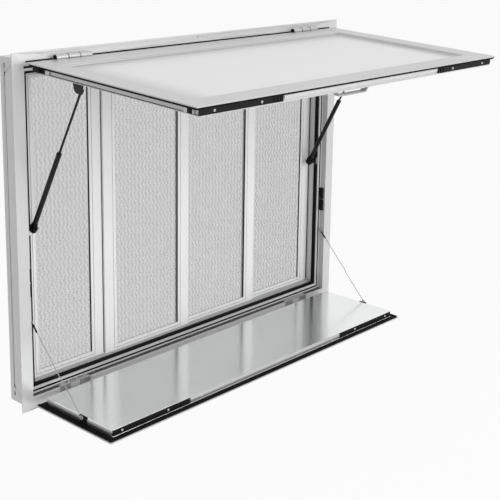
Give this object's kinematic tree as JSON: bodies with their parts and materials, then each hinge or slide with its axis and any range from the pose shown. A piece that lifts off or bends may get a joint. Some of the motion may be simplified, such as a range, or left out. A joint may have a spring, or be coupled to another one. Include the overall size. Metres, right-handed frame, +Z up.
{
  "type": "concession window with awning flap, serving shelf and insect screens",
  "caption": "Flush-mounted serving window: metal frame over a wall opening, framed insect screens, a top-hinged awning flap on gas struts and a fold-down counter shelf on cables.",
  "frame": {"origin": "On the back face of the wall flange, centred across the window, at the middle of the lap strip below the sill", "axes": "+X along the window to the right seen from outdoors, +Y into the wall, +Z up"},
  "size_m": [1.24, 0.664, 0.925],
  "materials": {
    "frame_aluminium": "clear anodised extrusion, satin",
    "awning_sheet": "smooth pale sheet, satin",
    "counter_metal": "polished sheet, blurred reflections",
    "screen_paint": "pale grey powder coat",
    "screen_mesh": "fine woven insect mesh, grey",
    "black_rubber": "matt black sponge and bulb seal",
    "black_plastic": "matt black moulded plastic",
    "black_steel": "black enamel, slight gloss",
    "bright_steel": "bright steel"
  },
  "bodies": {
    "root": {"frame_header": "frame_aluminium", "frame_sill": "frame_aluminium", "left_jamb": "frame_aluminium", "right_jamb": "frame_aluminium", "frame_seal": "black_rubber", "bottom_track": "frame_aluminium", "top_track": "frame_aluminium", "screen_frame_1": "screen_paint", "screen_frame_2": "screen_paint", "screen_frame_3": "screen_paint", "screen_frame_4": "screen_paint", "screen_mesh_1": "screen_mesh", "screen_mesh_2": "screen_mesh", "screen_mesh_3": "screen_mesh", "screen_mesh_4": "screen_mesh", "latch_keepers": "black_plastic", "awning_hinges_fixed": "bright_steel", "shelf_hinges_fixed": "bright_steel", "strut_pivots": "black_steel", "cable_anchors": "bright_steel"},
    "awning": {"awning_border": "frame_aluminium", "awning_panel": "awning_sheet", "awning_tray": "frame_aluminium", "awning_seal": "black_rubber", "awning_front_channel": "frame_aluminium", "awning_end_strips": "black_plastic", "awning_handle": "bright_steel", "awning_clips": "bright_steel", "awning_hinge_leaves": "bright_steel", "strut_brackets": "black_steel"},
    "shelf": {"shelf_skin": "frame_aluminium", "shelf_tray": "counter_metal", "shelf_seal": "black_rubber", "shelf_front_channel": "frame_aluminium", "shelf_end_strips": "black_plastic", "shelf_hinge_leaves": "bright_steel", "cable_brackets": "black_plastic"},
    "left_rod": {"left_strut_rod": "black_steel"},
    "left_cylinder": {"left_strut_cylinder": "black_steel"},
    "left_upper_cable": {"left_cable_upper": "bright_steel"},
    "left_lower_cable": {"left_cable_lower": "bright_steel"},
    "right_rod": {"right_strut_rod": "black_steel"},
    "right_cylinder": {"right_strut_cylinder": "black_steel"},
    "right_upper_cable": {"right_cable_upper": "bright_steel"},
    "right_lower_cable": {"right_cable_lower": "bright_steel"}
  },
  "joints": [
    {"name": "awning_hinge", "type": "hinge", "parent": "root", "child": "awning", "pos_m": [0, -0.016, 0.898], "axis": [1, 0, 0], "range_deg": [0, 87]},
    {"name": "shelf_hinge", "type": "hinge", "parent": "root", "child": "shelf", "pos_m": [0, -0.01, 0.009], "axis": [-1, 0, 0], "range_deg": [0, 90]},
    {"name": "left_rod_pivot", "type": "hinge", "parent": "awning", "child": "left_rod", "pos_m": [-0.545, -0.16917, 0.8399], "axis": [-1, 0, 0], "range_deg": [0, 115.25]},
    {"name": "left_strut_slide", "type": "slide", "parent": "left_rod", "child": "left_cylinder", "axis": [0, -0.4726, 0.8813], "range_m": [0, 0.14914]},
    {"name": "left_upper_cable_pivot", "type": "hinge", "parent": "root", "child": "left_upper_cable", "pos_m": [-0.5786, 0.006, 0.228], "axis": [1, 0, 0], "range_deg": [0, 43.82]},
    {"name": "left_lower_cable_pivot", "type": "hinge", "parent": "shelf", "child": "left_lower_cable", "pos_m": [-0.5754, -0.185, 0.0286], "axis": [-1, 0, 0], "range_deg": [0, 46.28]},
    {"name": "right_rod_pivot", "type": "hinge", "parent": "awning", "child": "right_rod", "pos_m": [0.545, -0.16917, 0.8399], "axis": [-1, 0, 0], "range_deg": [0, 115.25]},
    {"name": "right_strut_slide", "type": "slide", "parent": "right_rod", "child": "right_cylinder", "axis": [0, -0.4726, 0.8813], "range_m": [0, 0.14914]},
    {"name": "right_upper_cable_pivot", "type": "hinge", "parent": "root", "child": "right_upper_cable", "pos_m": [0.5786, 0.006, 0.228], "axis": [1, 0, 0], "range_deg": [0, 43.82]},
    {"name": "right_lower_cable_pivot", "type": "hinge", "parent": "shelf", "child": "right_lower_cable", "pos_m": [0.5754, -0.185, 0.0286], "axis": [-1, 0, 0], "range_deg": [0, 46.28]}
  ],
  "couplings": [
    {"joint": "left_rod_pivot", "follows": "awning_hinge", "ratio": 1.3241},
    {"joint": "left_strut_slide", "follows": "awning_hinge", "m_per_rad": 0.098086},
    {"joint": "left_upper_cable_pivot", "follows": "shelf_hinge", "ratio": 0.4863},
    {"joint": "left_lower_cable_pivot", "follows": "shelf_hinge", "ratio": 0.5137},
    {"joint": "right_rod_pivot", "follows": "awning_hinge", "ratio": 1.3241},
    {"joint": "right_strut_slide", "follows": "awning_hinge", "m_per_rad": 0.098086},
    {"joint": "right_upper_cable_pivot", "follows": "shelf_hinge", "ratio": 0.4863},
    {"joint": "right_lower_cable_pivot", "follows": "shelf_hinge", "ratio": 0.5137}
  ]
}
